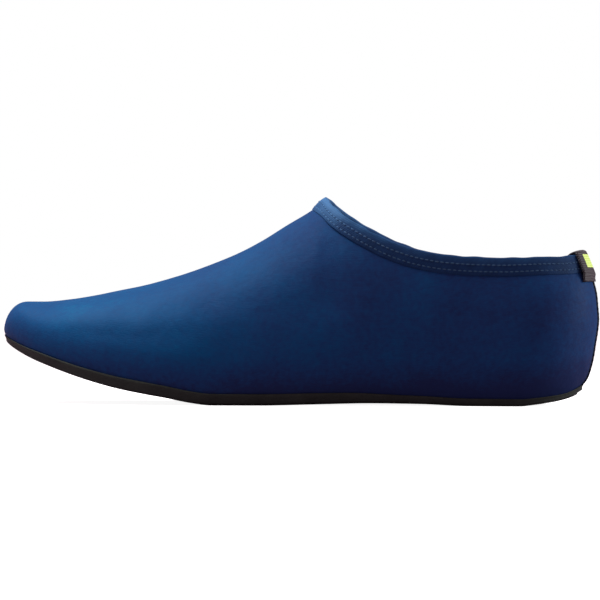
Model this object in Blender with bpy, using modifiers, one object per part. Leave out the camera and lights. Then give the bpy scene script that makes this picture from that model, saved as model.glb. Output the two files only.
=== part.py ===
"""Left water shoe: a sewn stretch-fabric upper on a thin rubber sole.

The shoe stands empty on its sole, with its toe towards -X, its heel towards +X
and its outer side towards -Y. A station runs from 0 at the back of the heel to 1
at the toe tip. Every piece is worked out from the upper's own outer surface.
"""

import bmesh
import bpy
import numpy as np

# Outside sizes of the shoe, in metres
LENGTH = 0.250
PEAK_HEIGHT = 0.0860
COLLAR_HEIGHT = 0.0613
TOE_HEIGHT = 0.0422
BALL_WIDTH = 0.090
HEEL_WIDTH = 0.062

# How far the sole's underside leaves the floor, and how the outline bends
TOE_SPRING = 0.0265
HEEL_SPRING = 0.0061
ARCH_LIFT = 0.0010
HEEL_CURVE = 0.0088
TOE_SWING = 0.0060
TOE_TUCK = 0.0014

# Radii of the toe and the heel, along the shoe
TOE_ROUND = 0.040
NOSE_ROUND = 0.010
HEEL_ROUND = 0.032

# Thickness of each material, and the gap between two pieces
WALL = 0.0018
SOLE_THICKNESS = 0.0022
RIM_THICKNESS = 0.0010
INSOLE_THICKNESS = 0.0020
TAPE_THICKNESS = 0.0007
TAB_THICKNESS = 0.0008
GAP = 0.0003
TAPE_GAP = 0.0005
INSOLE_CLEARANCE = 0.0006

# The sole's lip, the collar tape and the pull tab
LIP_HEIGHT = 0.0020
LIP_LEAST = 0.0009
BOTTOM_ROUND = 0.0022
BAND_HEIGHT = 0.0083
TAB_WIDTH = 0.0220
TAB_FLARE = 0.0060
TAB_DROP = 0.0114
TAB_ARCH = 0.0008
TAB_INSIDE = 0.0085

# The station of the collar's peak, and how finely the surfaces are cut. The rows of
# the wall are crowded together by EDGE_CROWD at the sole and at the collar
PEAK_STATION = 0.453
RING_STEPS = 40
WALL_STEPS = 15
FINE_STEPS = 160
TAB_STEPS = 8
EDGE_CROWD = 0.5

# Part of a half turn over which the rings fan out, from the collar's peak to the toe
RING_FAN = 0.9 * np.pi

# Share of the wall's height that the lip, the tape or the tab may reach along it, and
# below which the nose of the toe tucks under
EDGE_REACH = 0.4
TUCK_SHARE = 0.03

# Height from the fabric edge up to the finished edge of the tape, which is less at
# the sloping peak than along the level collar
FABRIC_DROP = TAPE_THICKNESS + TAPE_GAP
PEAK_DROP = 0.9 * FABRIC_DROP


class Table:
    """Rows of shares under named columns, joined by curves that never overshoot."""

    def __init__(self, names, rows):
        columns = np.array(rows, dtype=float).T
        self.places = columns[0]
        self.columns = dict(zip(names.split()[1:], columns[1:]))

    def at(self, name, place):
        values = self.columns[name]
        steps = np.diff(self.places)
        rises = np.diff(values) / steps
        slopes = np.zeros(len(values))
        slopes[0] = rises[0]
        slopes[-1] = rises[-1]
        same_way = rises[:-1] * rises[1:] > 0
        before = 2 * steps[1:] + steps[:-1]
        after = steps[1:] + 2 * steps[:-1]
        first = np.where(same_way, rises[:-1], 1)
        second = np.where(same_way, rises[1:], 1)
        slopes[1:-1] = np.where(same_way, (before + after) / (before / first + after / second), 0)
        place = np.clip(place, self.places[0], self.places[-1])
        row = np.clip(np.searchsorted(self.places, place, side="right") - 1, 0, len(steps) - 1)
        t = (place - self.places[row]) / steps[row]
        start = (1 + 2 * t) * (1 - t) ** 2 * values[row]
        end = t ** 2 * (3 - 2 * t) * values[row + 1]
        leave = t * (1 - t) ** 2 * slopes[row] * steps[row]
        arrive = t ** 2 * (t - 1) * slopes[row + 1] * steps[row]
        return start + end + leave + arrive


# Underside of the sole: shares of the toe spring, the arch lift and the heel spring
UNDERSIDE = Table("station toe arch heel", (
    (0.028, 0.000, 0.00, 1.00),
    (0.044, 0.000, 0.00, 0.60),
    (0.064, 0.000, 0.00, 0.34),
    (0.084, 0.000, 0.00, 0.20),
    (0.104, 0.000, 0.00, 0.09),
    (0.125, 0.000, 0.00, 0.00),
    (0.205, 0.000, 0.00, 0.00),
    (0.286, 0.000, 0.76, 0.00),
    (0.367, 0.000, 1.00, 0.00),
    (0.460, 0.000, 0.50, 0.00),
    (0.550, 0.000, 0.00, 0.00),
    (0.625, 0.000, 0.00, 0.00),
    (0.660, 0.038, 0.00, 0.00),
    (0.700, 0.110, 0.00, 0.00),
    (0.741, 0.175, 0.00, 0.00),
    (0.781, 0.247, 0.00, 0.00),
    (0.822, 0.342, 0.00, 0.00),
    (0.862, 0.450, 0.00, 0.00),
    (0.902, 0.572, 0.00, 0.00),
    (0.933, 0.677, 0.00, 0.00),
    (0.973, 0.850, 0.00, 0.00),
    (1.000, 1.000, 0.00, 0.00),
))

# Top line: shares of the climb from the toe's height to the peak. Behind the peak
# it is the line on which the wall would close over the ankle
TOP_LINE = Table("station climb", (
    (0.000, 0.82),
    (0.100, 0.92),
    (0.200, 1.03),
    (0.300, 1.11),
    (0.400, 1.10),
    (0.453, 1.00),
    (0.478, 0.895),
    (0.519, 0.750),
    (0.559, 0.603),
    (0.599, 0.480),
    (0.640, 0.380),
    (0.680, 0.294),
    (0.721, 0.220),
    (0.761, 0.159),
    (0.801, 0.112),
    (0.842, 0.063),
    (0.882, 0.026),
    (0.933, 0.000),
    (1.000, 0.000),
))

# Collar edge: shares of the climb from the collar at the heel to the peak
COLLAR_LINE = Table("station climb", (
    (0.000, 0.060),
    (0.030, 0.055),
    (0.055, 0.015),
    (0.100, 0.000),
    (0.150, -0.015),
    (0.200, 0.000),
    (0.246, 0.033),
    (0.286, 0.098),
    (0.327, 0.217),
    (0.367, 0.395),
    (0.397, 0.560),
    (0.418, 0.693),
    (0.436, 0.838),
    (0.453, 1.000),
))

# Plan: how far the width follows the ball's and not the heel's, and the inner and
# the outer half as shares of that width, before the toe and the heel are rounded
PLAN = Table("station ball inner outer", (
    (0.00, 0.00, 0.500, 0.500),
    (0.18, 0.00, 0.485, 0.495),
    (0.30, 0.05, 0.440, 0.505),
    (0.40, 0.20, 0.405, 0.520),
    (0.50, 0.50, 0.410, 0.510),
    (0.60, 0.85, 0.445, 0.490),
    (0.70, 1.00, 0.487, 0.490),
    (0.80, 1.00, 0.460, 0.470),
    (0.88, 1.00, 0.410, 0.410),
    (1.00, 1.00, 0.340, 0.330),
))

# Cross-section: width at the sole as a share of the widest, height of the widest
# place as a share of the section, and how square the dome above it is
SECTION = Table("station foot belly squareness", (
    (0.00, 0.80, 0.36, 2.00),
    (0.20, 0.84, 0.36, 2.05),
    (0.40, 0.86, 0.30, 1.95),
    (0.50, 0.90, 0.26, 1.90),
    (0.60, 0.93, 0.24, 2.00),
    (0.72, 0.95, 0.26, 2.15),
    (0.85, 0.93, 0.30, 2.30),
    (1.00, 0.91, 0.35, 2.40),
))

# Back of the heel: how far it stands in front of the rearmost point, as a share of
# the heel's curve, at each share of the wall's height
HEEL_BACK = Table("height setback", (
    (0.00, 0.80),
    (0.06, 0.53),
    (0.15, 0.34),
    (0.24, 0.22),
    (0.33, 0.14),
    (0.43, 0.045),
    (0.52, 0.00),
    (0.61, 0.04),
    (0.70, 0.09),
    (0.80, 0.23),
    (0.89, 0.45),
    (1.00, 0.73),
))

# Sole edge: rise of the lip, thickness of the sheet and width of the rim, as shares of
# their sizes
SOLE_EDGE = Table("station lip sheet rim", (
    (0.00, 0.00, 0.60, 0.20),
    (0.10, 0.02, 0.90, 0.50),
    (0.22, 0.04, 1.00, 0.80),
    (0.32, 0.25, 1.00, 1.00),
    (0.42, 0.75, 1.00, 1.00),
    (0.66, 0.85, 1.00, 1.00),
    (0.76, 1.00, 1.00, 1.00),
    (0.90, 1.00, 1.00, 0.75),
    (0.96, 0.70, 0.80, 0.40),
    (1.00, 0.25, 0.45, 0.10),
))

# Collar tape in profile, from its outer lower edge over the top to the inner lower
# edge: the share of the leg's height, of the fold's rise, of the way through the
# wall, and of the step down from the tape's face to the upper's
TAPE_PROFILE = (
    (1.00, 0.00, 0.00, 0.0),
    (0.50, 0.00, 0.00, 0.0),
    (0.00, 0.00, 0.00, 0.0),
    (0.00, 0.75, 0.12, 0.0),
    (0.00, 1.00, 0.50, 0.0),
    (0.00, 0.75, 0.88, 0.0),
    (0.00, 0.00, 1.00, 0.0),
    (0.50, 0.00, 1.00, 0.0),
    (1.00, 0.00, 1.00, 0.0),
)

# Pull tab in profile, in the same columns
TAB_PROFILE = (
    (1.00, 0.00, 0.00, 1.0),
    (0.88, 0.00, 0.00, 0.8),
    (0.74, 0.00, 0.00, 0.1),
    (0.37, 0.00, 0.00, 0.0),
    (0.00, 0.00, 0.00, 0.0),
    (0.00, 0.55, 0.03, 0.0),
    (0.00, 0.88, 0.20, 0.0),
    (0.00, 1.00, 0.50, 0.0),
    (0.00, 0.88, 0.80, 0.0),
    (0.00, 0.55, 0.97, 0.0),
    (0.00, 0.00, 1.00, 0.0),
    (0.50, 0.00, 1.00, 0.0),
    (1.00, 0.00, 1.00, 0.0),
)

# Lip and side of the sole in profile, from the inside of the lip down to the
# underside: the share of the lip's rise, of the rim's thickness and of the sheet
LIP_PROFILE = ((1.00, 0.00), (1.00, 0.80), (0.50, 1.00))
SIDE_PROFILE = ((0.20, 1.00), (0.70, 0.70))


def cap(share):
    """Quarter of a circle: 0 at the tip and 1 from the full radius on."""
    return np.sqrt(np.maximum(0, 1 - (1 - np.clip(share, 0, 1)) ** 2))


def underside(station):
    """Height of the sole's underside."""
    toe = TOE_SPRING * UNDERSIDE.at("toe", station)
    arch = ARCH_LIFT * UNDERSIDE.at("arch", station)
    heel = HEEL_SPRING * UNDERSIDE.at("heel", station)
    return toe + arch + heel


def sheet(station):
    """Thickness of the sole's sheet."""
    return SOLE_THICKNESS * SOLE_EDGE.at("sheet", station)


def foot_line(station):
    """Height of the upper's lower edge, just clear of the sole inside its lip."""
    return underside(station) + sheet(station) + GAP


def top_line(station):
    """Height at which a section closes, with the rounded nose of the toe."""
    climb = PEAK_HEIGHT - PEAK_DROP - TOE_HEIGHT
    height = TOE_HEIGHT + climb * TOP_LINE.at("climb", station)
    tip = foot_line(1.0)
    return tip + (height - tip) * cap((1 - station) * LENGTH / NOSE_ROUND)


def collar_line(station):
    """Height of the fabric edge at the collar."""
    low = COLLAR_HEIGHT - FABRIC_DROP
    climb = PEAK_HEIGHT - PEAK_DROP - low
    return low + climb * COLLAR_LINE.at("climb", station)


def closing(station):
    """Share of the wall at which a section closes: over 1 where the collar is open."""
    behind = np.minimum(station, PEAK_STATION)
    foot = foot_line(behind)
    opened = (top_line(behind) - foot) / (collar_line(behind) - foot)
    vamp = (1 - np.clip(station, PEAK_STATION, 1)) / (1 - PEAK_STATION)
    ahead = np.arccos(1 - vamp * (1 - np.cos(RING_FAN))) / RING_FAN
    return np.where(station < PEAK_STATION, opened, ahead)


def half_width(station, height, setback, tuck, inner):
    """Distance from the centre line at a share of the section's height."""
    ball = PLAN.at("ball", station)
    width = (HEEL_WIDTH + (BALL_WIDTH - HEEL_WIDTH) * ball)
    width = width * np.where(inner, PLAN.at("inner", station), PLAN.at("outer", station))
    width = width * cap(((1 - station) * LENGTH - tuck) / TOE_ROUND)
    width = width * cap((station * LENGTH - setback) / HEEL_ROUND)
    foot = SECTION.at("foot", station)
    belly = SECTION.at("belly", station)
    power = SECTION.at("squareness", station)
    below = np.clip(1 - height / belly, 0, 1)
    above = np.clip((height - belly) / (1 - belly), 0, 1)
    flare = 1 - (1 - foot) * below ** 2
    dome = (1 - above ** power) ** (1 / power)
    return width * flare * dome


def centre_line(station):
    """Sideways swing of the toe towards the inner side of the foot."""
    forward = np.clip((station - 0.6) / 0.4, 0, 1)
    return TOE_SWING * forward ** 2 * (3 - 2 * forward)


def ring(share, steps=RING_STEPS):
    """Closed loop round the upper at a share of its wall's height, from the heel
    along the outer side to the toe and back along the inner side. Near the collar
    the points keep to upright lines and crowd towards the peak."""
    setback = HEEL_CURVE * HEEL_BACK.at("setback", share)
    tuck = TOE_TUCK * (1 - min(share / TUCK_SHARE, 1)) ** 2
    back = setback / LENGTH
    vamp = (1 - np.cos(RING_FAN * share)) / (1 - np.cos(RING_FAN))
    front = 1 - (1 - PEAK_STATION) * vamp - tuck / LENGTH
    turn = np.arange(2 * steps) / steps
    side = np.sign(turn - 1)
    even = (1 - np.cos(np.pi * turn)) / 2
    crowd = 1 / (front - back)
    station = back + even / (1 + (crowd - 1) * even)
    height = np.minimum(share / np.maximum(closing(station), 1e-9), 1)
    y = centre_line(station) + side * half_width(station, height, setback, tuck, side > 0)
    z = foot_line(station) + height * (top_line(station) - foot_line(station))
    return np.stack((LENGTH / 2 - station * LENGTH, y, z), axis=1)


def wall_rows(shares, steps=RING_STEPS):
    """Rings at several shares of the wall's height, with a unit normal beside each point."""
    places = np.stack([ring(share, steps) for share in shares])
    along = np.roll(places, -1, axis=1) - np.roll(places, 1, axis=1)
    normals = np.cross(np.gradient(places, axis=0), along)
    normals /= np.linalg.norm(normals, axis=2, keepdims=True)
    return np.concatenate((places, normals), axis=2)


def walk(rows, distances):
    """Point and normal reached from the first row, at a distance along the wall
    that is given for each column."""
    steps = np.linalg.norm(np.diff(rows[:, :, :3], axis=0), axis=2)
    gone = np.concatenate((np.zeros((1, rows.shape[1])), np.cumsum(steps, axis=0)))
    reached = np.empty(rows.shape[1:])
    for column in range(rows.shape[1]):
        for part in range(rows.shape[2]):
            line = rows[:, column, part]
            reached[column, part] = np.interp(distances[column], gone[:, column], line)
    return reached


def plan_normals(loop):
    """Level unit vectors that point out of a closed loop."""
    along = np.roll(loop, -1, axis=0) - np.roll(loop, 1, axis=0)
    level = np.stack((-along[:, 1], along[:, 0], np.zeros(len(loop))), axis=1)
    return level / np.linalg.norm(level, axis=1, keepdims=True)


def station_of(x):
    """Station of a point by its place along the shoe."""
    return 0.5 - x / LENGTH


def grid_faces(rows, columns, closed=True):
    """Quads between the neighbouring rows of a grid, facing out of the upper."""
    last = columns if closed else columns - 1
    faces = []
    for row in range(rows - 1):
        for column in range(last):
            after = (column + 1) % columns
            low = row * columns
            high = low + columns
            faces.append((low + column, high + column, high + after, low + after))
    return faces


def across_faces(first, steps, upward):
    """Strips across a loop that starts at vertex first, from side to side."""
    faces = []
    for step in range(steps):
        near = (first + step, first + step + 1)
        far = (first + (2 * steps - step - 1), first + (2 * steps - step) % (2 * steps))
        corners = list(dict.fromkeys(near + far))
        faces.append(corners[::-1] if upward else corners)
    return faces


def add_object(name, points, faces, material):
    """Mesh object from points and faces, shaded smooth, under its own name."""
    mesh = bpy.data.meshes.new(name)
    built = bmesh.new()
    corners = [built.verts.new(point) for point in points]
    for face in faces:
        built.faces.new([corners[index] for index in face])
    built.to_mesh(mesh)
    built.free()
    mesh.shade_smooth()
    mesh.materials.append(material)
    shoe = bpy.data.objects.new(name, mesh)
    bpy.data.collections["water_shoe"].objects.link(shoe)
    return shoe


def thicken(shoe, thickness, offset=-1):
    """Give an open surface its material's thickness."""
    shell = shoe.modifiers.new("wall", "SOLIDIFY")
    shell.thickness = thickness
    shell.offset = offset
    shell.use_even_offset = True


def finish(name, colour, roughness):
    """Plain material of one piece."""
    material = bpy.data.materials.new(name)
    material.use_nodes = True
    shader = material.node_tree.nodes["Principled BSDF"]
    shader.inputs["Base Color"].default_value = (*colour, 1)
    shader.inputs["Roughness"].default_value = roughness
    shader.inputs["Metallic"].default_value = 0
    return material


def build_upper():
    """One hollow wall, open at the collar and open underneath."""
    even = np.linspace(0, 1, WALL_STEPS + 1)
    shares = even - EDGE_CROWD * np.sin(2 * np.pi * even) / (2 * np.pi)
    points = wall_rows(shares)[:, :, :3]
    faces = grid_faces(*points.shape[:2])
    fabric = finish("stretch_fabric", (0.016, 0.05, 0.15), 0.5)
    upper = add_object("upper", points.reshape(-1, 3), faces, fabric)
    thicken(upper, WALL)
    return upper


def build_outsole():
    """Thin sheet with a lip that stands up round the upper's lower edge."""
    rows = wall_rows(np.linspace(0, EDGE_REACH, FINE_STEPS))
    base = rows[0, :, :3]
    level = plan_normals(base)
    station = np.clip(station_of(base[:, 0]), 0, 1)
    rise = LIP_LEAST + LIP_HEIGHT * SOLE_EDGE.at("lip", station)
    rim = RIM_THICKNESS * SOLE_EDGE.at("rim", station)[:, None]
    thickness = sheet(station)

    def at_side(out, down):
        ring_points = base + out * level
        ring_points[:, 2] = base[:, 2] - GAP - down * thickness
        return ring_points

    loops = [at_side(GAP, 0)]
    for share, out in LIP_PROFILE:
        reached = walk(rows, share * rise)
        loops.append(reached[:, :3] + (GAP + out * rim) * reached[:, 3:])
    for down, out in SIDE_PROFILE:
        loops.append(at_side(GAP + out * rim, down))
    bottom = base - BOTTOM_ROUND * level
    bottom[:, 2] = underside(np.clip(station_of(bottom[:, 0]), 0, 1))
    loops.append(bottom)
    points = np.stack(loops)
    columns = 2 * RING_STEPS
    faces = [face[::-1] for face in grid_faces(len(loops), columns)]
    faces += across_faces(0, RING_STEPS, upward=True)
    faces += across_faces((len(loops) - 1) * columns, RING_STEPS, upward=False)
    rubber = finish("black_rubber", (0.018, 0.018, 0.017), 0.6)
    return add_object("outsole", points.reshape(-1, 3), faces, rubber)


def build_insole():
    """Flat foam liner that lies on the sole inside the upper."""
    base = ring(0.0)
    loop = base - (WALL + INSOLE_CLEARANCE) * plan_normals(base)
    loop[:, 2] = foot_line(np.clip(station_of(loop[:, 0]), 0, 1))
    faces = across_faces(0, RING_STEPS, upward=True)
    foam = finish("liner_foam", (0.03, 0.03, 0.035), 0.9)
    insole = add_object("insole", loop, faces, foam)
    thicken(insole, INSOLE_THICKNESS, offset=1)
    return insole


def over_the_edge(rows, profile, leg, inside_leg, rise, outer, inner):
    """Surface that folds over the collar edge: up the outside, over and down the
    inside. outer and inner are how far it stands off the upper's outer surface."""
    first = rows[0, :, :3]
    rise = np.broadcast_to(rise, rows.shape[1])
    upward = first - walk(rows, rise)[:, :3]
    upward /= np.linalg.norm(upward, axis=1, keepdims=True)
    points = []
    for down, up, through, step in profile:
        length = leg if through < 0.5 else inside_leg
        reached = walk(rows, np.full(rows.shape[1], down * length))
        offset = outer + (inner - outer) * through - step * (TAPE_THICKNESS + TAPE_GAP)
        lift = up * rise[:, None] * upward
        points.append(reached[:, :3] + lift + offset * reached[:, 3:])
    return np.stack(points)


def build_collar_binding():
    """Elastic tape folded over the whole collar edge."""
    rows = wall_rows(np.linspace(1, 1 - EDGE_REACH, FINE_STEPS))
    rows[:, :, 3:] *= -1
    leg = BAND_HEIGHT - FABRIC_DROP
    outer = TAPE_GAP + TAPE_THICKNESS
    points = over_the_edge(rows, TAPE_PROFILE, leg, leg, FABRIC_DROP, outer, -WALL - outer)
    faces = grid_faces(*points.shape[:2])
    elastic = finish("collar_tape", (0.02, 0.05, 0.12), 0.6)
    tape = add_object("collar_binding", points.reshape(-1, 3), faces, elastic)
    thicken(tape, TAPE_THICKNESS)
    return tape


def heel_rows():
    """Wall at the heel's back, at even places across the pull tab, which is wider at
    its foot than at the collar."""
    rows = wall_rows(np.linspace(1, 1 - EDGE_REACH, FINE_STEPS), FINE_STEPS)
    rows[:, :, 3:] *= -1
    reach = FINE_STEPS // 2
    rows = np.roll(rows, reach, axis=1)[:, :2 * reach + 1]
    across = np.linspace(0.5, -0.5, TAB_STEPS + 1)
    picked = np.empty((rows.shape[0], TAB_STEPS + 1, 6))
    for row, line in enumerate(rows):
        down = (rows[0, reach, 2] - line[reach, 2]) / TAB_DROP
        places = (TAB_WIDTH + TAB_FLARE * np.minimum(down, 1)) * across
        order = np.argsort(line[:, 1])
        for part in range(6):
            picked[row, :, part] = np.interp(places, line[order, 1], line[order, part])
    return picked


def build_heel_pull_tab():
    """Webbing folded over the tape at the heel's back, standing up as a low loop."""
    outer = TAPE_GAP + TAPE_THICKNESS + GAP + TAB_THICKNESS
    arch = TAB_ARCH * (1 - np.linspace(-1, 1, TAB_STEPS + 1) ** 2)
    rise = FABRIC_DROP + GAP + TAB_THICKNESS + arch
    points = over_the_edge(heel_rows(), TAB_PROFILE, TAB_DROP, TAB_INSIDE, rise, outer, -WALL - outer)
    faces = grid_faces(*points.shape[:2], closed=False)
    webbing = finish("black_webbing", (0.015, 0.015, 0.02), 0.7)
    tab = add_object("heel_pull_tab", points.reshape(-1, 3), faces, webbing)
    thicken(tab, TAB_THICKNESS)
    return tab


def stand_on_floor(pieces):
    """Hang the pieces on an empty that puts the origin under the middle of the shoe."""
    bpy.context.view_layer.update()
    graph = bpy.context.evaluated_depsgraph_get()
    corners = []
    for piece in pieces:
        mesh = piece.evaluated_get(graph).data
        corners += [vertex.co[:] for vertex in mesh.vertices]
    low = np.min(corners, axis=0)
    high = np.max(corners, axis=0)
    middle = bpy.data.objects.new("shoe_middle", None)
    bpy.data.collections["water_shoe"].objects.link(middle)
    middle.location = (-(low[0] + high[0]) / 2, -(low[1] + high[1]) / 2, -low[2])
    for piece in pieces:
        piece.parent = middle


def main():
    """Build every piece in one collection."""
    for old in list(bpy.data.objects):
        bpy.data.objects.remove(old)
    collection = bpy.data.collections.new("water_shoe")
    bpy.context.scene.collection.children.link(collection)
    stand_on_floor([
        build_upper(),
        build_outsole(),
        build_insole(),
        build_collar_binding(),
        build_heel_pull_tab(),
    ])


main()
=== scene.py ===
"""Looks of the left water shoe: satin stretch fabric, elastic collar tape, webbing
pull tab, rubber sole and foam insole.

The shoe stands with its toe towards -X, its heel towards +X and its outer side
towards -Y. A station runs from 0 at the back of the heel to 1 at the toe tip. Each
piece is worked out from the upper's own outer surface, in metres.
"""

import bpy
import numpy as np
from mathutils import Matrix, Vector


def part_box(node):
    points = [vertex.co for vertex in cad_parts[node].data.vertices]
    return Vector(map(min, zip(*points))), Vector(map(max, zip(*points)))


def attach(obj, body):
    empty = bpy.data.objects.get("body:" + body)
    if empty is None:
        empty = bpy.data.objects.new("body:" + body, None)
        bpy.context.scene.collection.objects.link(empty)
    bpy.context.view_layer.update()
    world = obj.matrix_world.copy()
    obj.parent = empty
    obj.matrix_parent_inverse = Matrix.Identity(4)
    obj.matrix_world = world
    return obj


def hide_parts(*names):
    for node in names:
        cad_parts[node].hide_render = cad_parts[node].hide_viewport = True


# Outside sizes of the shoe
LENGTH = 0.250
PEAK_HEIGHT = 0.0860
COLLAR_HEIGHT = 0.0613
TOE_HEIGHT = 0.0422
BALL_WIDTH = 0.090
HEEL_WIDTH = 0.062

# How far the sole's underside leaves the floor, and how the outline bends
TOE_SPRING = 0.0265
HEEL_SPRING = 0.0061
ARCH_LIFT = 0.0010
HEEL_CURVE = 0.0088
TOE_SWING = 0.0060
SWING_STATION = 0.60
TOE_TUCK = 0.0014

# Radii of the toe and the heel, along the shoe
TOE_ROUND = 0.040
NOSE_ROUND = 0.010
HEEL_ROUND = 0.032

# Thickness of each material, and the gap between two pieces
WALL = 0.0018
SOLE_THICKNESS = 0.0022
RIM_THICKNESS = 0.0010
INSOLE_THICKNESS = 0.0020
TAPE_THICKNESS = 0.0007
TAB_THICKNESS = 0.0008
GAP = 0.0003
TAPE_GAP = 0.0005
INSOLE_CLEARANCE = 0.0006

# The sole's lip, the collar tape and the pull tab
LIP_HEIGHT = 0.0020
LIP_LEAST = 0.0009
BOTTOM_ROUND = 0.0022
BAND_HEIGHT = 0.0083
TAB_WIDTH = 0.0220
TAB_FLARE = 0.0060
TAB_DROP = 0.0114
TAB_ARCH = 0.0008
TAB_INSIDE = 0.0085

# How far the tape's edge waves up and down, and how square its fold is
TAPE_WAVE = 0.00014
FOLD_SQUARENESS = 0.8

# The tape over the seam at the heel's back: its width, its rise and how flat it is
SEAM_WIDTH = 0.0075
SEAM_RISE = 0.0004
SEAM_FLATNESS = 0.3

# Tread: from groove to groove, the length and reach of its waves along a groove, its
# depth, the plain margin, and how steep the grooves' sides and how wide the ribs are
TREAD_PITCH = 0.0052
TREAD_WAVE = 0.0150
TREAD_BEND = 0.0016
TREAD_DEPTH = 0.0006
TREAD_MARGIN = 0.0030
TREAD_STEEPNESS = 1.6
TREAD_RIB = 0.4

# Stitches of the tape and of the heel's seam
STITCH_PITCH = 0.0021
STITCH_LENGTH = 0.0016
STITCH_WIDTH = 0.0007
STITCH_HEIGHT = 0.0003

# The station of the collar's peak, and how finely the surfaces are cut
PEAK_STATION = 0.453
RING_STEPS = 150
WALL_ROWS = 110
FINE_STEPS = 200
FOLD_STEPS = 14
LEG_STEPS = 24
TAB_STEPS = 60
TAB_COLUMNS = 28
SEAM_COLUMNS = 10
ACROSS_STEPS = 40
TREAD_ROWS = 640
TREAD_COLUMNS = 90
BEAD_SEGMENTS = 6
BEAD_SLICES = 4
TINY = 1e-9

# Part of a half turn over which the rings fan out, from the collar's peak to the toe
RING_FAN = 0.9 * np.pi

# Share of the wall's height that the lip, the tape or the tab may reach along it, and
# below which the nose of the toe tucks under
EDGE_REACH = 0.4
TUCK_SHARE = 0.03

# Height from the fabric edge up to the finished edge of the tape, and the share of it
# that is left at the sloping peak
FABRIC_DROP = TAPE_THICKNESS + TAPE_GAP
PEAK_SHARE = 0.9
PEAK_DROP = PEAK_SHARE * FABRIC_DROP

# Neon patch on the tab: its first row and the row after its last, and the columns that
# stay plain on either side
NEON_FROM = 11
NEON_TO = 23
NEON_MARGIN = 4

# Camera: how far off and how high it stands, how much it sees, and its turns in degrees
VIEW_DISTANCE = 1.60
VIEW_HEIGHT = 0.0432
VIEW_ASIDE = 0.0007
VIEW_WIDTH = 0.2504
VIEW_YAW = 6.0
VIEW_ROLL = -0.2
SENSOR = 36.0

# Painted shade: the fabric is pale at the toe, where the light falls, and darkens between
# two places along the shoe towards the heel, and over a short way up from the sole
PALE_TO = -0.085
DARK_FROM = 0.030
EDGE_SHADE = 0.018

# Heights between which the tape and its thread grow pale with a painted highlight at the
# collar's peak, and the ways up the tape between which a painted highlight lies on its fold
TAPE_HIGHLIGHT = (0.066, 0.088)
THREAD_HIGHLIGHT = (0.064, 0.086)
FOLD_FROM = (0.0050, 0.0070)
FOLD_TO = (0.0090, 0.0110)

# Pitch of the webbing's ribs, which also show through the print on it
RIB_PITCH = 0.0010

# Radians that a band's wave turns through in one unit of its place
BAND_RADIANS = 20

# Light: what the room gives the shoe, and the floor's tone, glow, bounce and reach
WHITE = (1.0, 1.0, 1.0, 1)
DARK = (0.0, 0.0, 0.0, 1)
ROOM_LIGHT = (0.26, 0.15, 0.19, 1)
FLOOR_TONE = (0.85, 0.85, 0.85, 1)
FLOOR_GLOW = (0.92, 0.92, 0.92, 1)
FLOOR_BOUNCE = (0.34, 0.24, 0.28, 1)
FLOOR_REACH = 6.0

# Soft boxes: name, place, what they point at, size and power in watts
LIGHTS = (
    ("overhead_box", (-0.38, 0.04, 0.76), (0.0, 0.0, 0.03), (0.50, 0.35), 8.4),
    ("heel_box", (0.70, 0.10, 0.20), (0.1, 0.0, 0.03), (0.30, 0.30), 2.7),
    ("toe_box", (-0.60, -0.45, 0.25), (-0.1, 0.0, 0.02), (0.40, 0.40), 0.3),
)


class Table:
    """Rows of shares under named columns, joined by curves that never overshoot."""

    def __init__(self, names, rows):
        columns = np.array(rows, dtype=float).T
        self.places = columns[0]
        self.columns = dict(zip(names.split()[1:], columns[1:]))

    def at(self, name, place):
        values = self.columns[name]
        steps = np.diff(self.places)
        rises = np.diff(values) / steps
        slopes = np.zeros(len(values))
        slopes[0] = rises[0]
        slopes[-1] = rises[-1]
        same_way = rises[:-1] * rises[1:] > 0
        before = 2 * steps[1:] + steps[:-1]
        after = steps[1:] + 2 * steps[:-1]
        first = np.where(same_way, rises[:-1], 1)
        second = np.where(same_way, rises[1:], 1)
        slopes[1:-1] = np.where(same_way, (before + after) / (before / first + after / second), 0)
        place = np.clip(place, self.places[0], self.places[-1])
        row = np.clip(np.searchsorted(self.places, place, side="right") - 1, 0, len(steps) - 1)
        t = (place - self.places[row]) / steps[row]
        start = (1 + 2 * t) * (1 - t) ** 2 * values[row]
        end = t ** 2 * (3 - 2 * t) * values[row + 1]
        leave = t * (1 - t) ** 2 * slopes[row] * steps[row]
        arrive = t ** 2 * (t - 1) * slopes[row + 1] * steps[row]
        return start + end + leave + arrive


# Underside of the sole: shares of the toe spring, the arch lift and the heel spring
UNDERSIDE = Table("station toe arch heel", (
    (0.028, 0.000, 0.00, 1.00),
    (0.044, 0.000, 0.00, 0.60),
    (0.064, 0.000, 0.00, 0.34),
    (0.084, 0.000, 0.00, 0.20),
    (0.104, 0.000, 0.00, 0.09),
    (0.125, 0.000, 0.00, 0.00),
    (0.205, 0.000, 0.00, 0.00),
    (0.286, 0.000, 0.76, 0.00),
    (0.367, 0.000, 1.00, 0.00),
    (0.460, 0.000, 0.50, 0.00),
    (0.550, 0.000, 0.00, 0.00),
    (0.625, 0.000, 0.00, 0.00),
    (0.660, 0.038, 0.00, 0.00),
    (0.700, 0.110, 0.00, 0.00),
    (0.741, 0.175, 0.00, 0.00),
    (0.781, 0.247, 0.00, 0.00),
    (0.822, 0.342, 0.00, 0.00),
    (0.862, 0.450, 0.00, 0.00),
    (0.902, 0.572, 0.00, 0.00),
    (0.933, 0.677, 0.00, 0.00),
    (0.973, 0.850, 0.00, 0.00),
    (1.000, 1.000, 0.00, 0.00),
))

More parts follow.
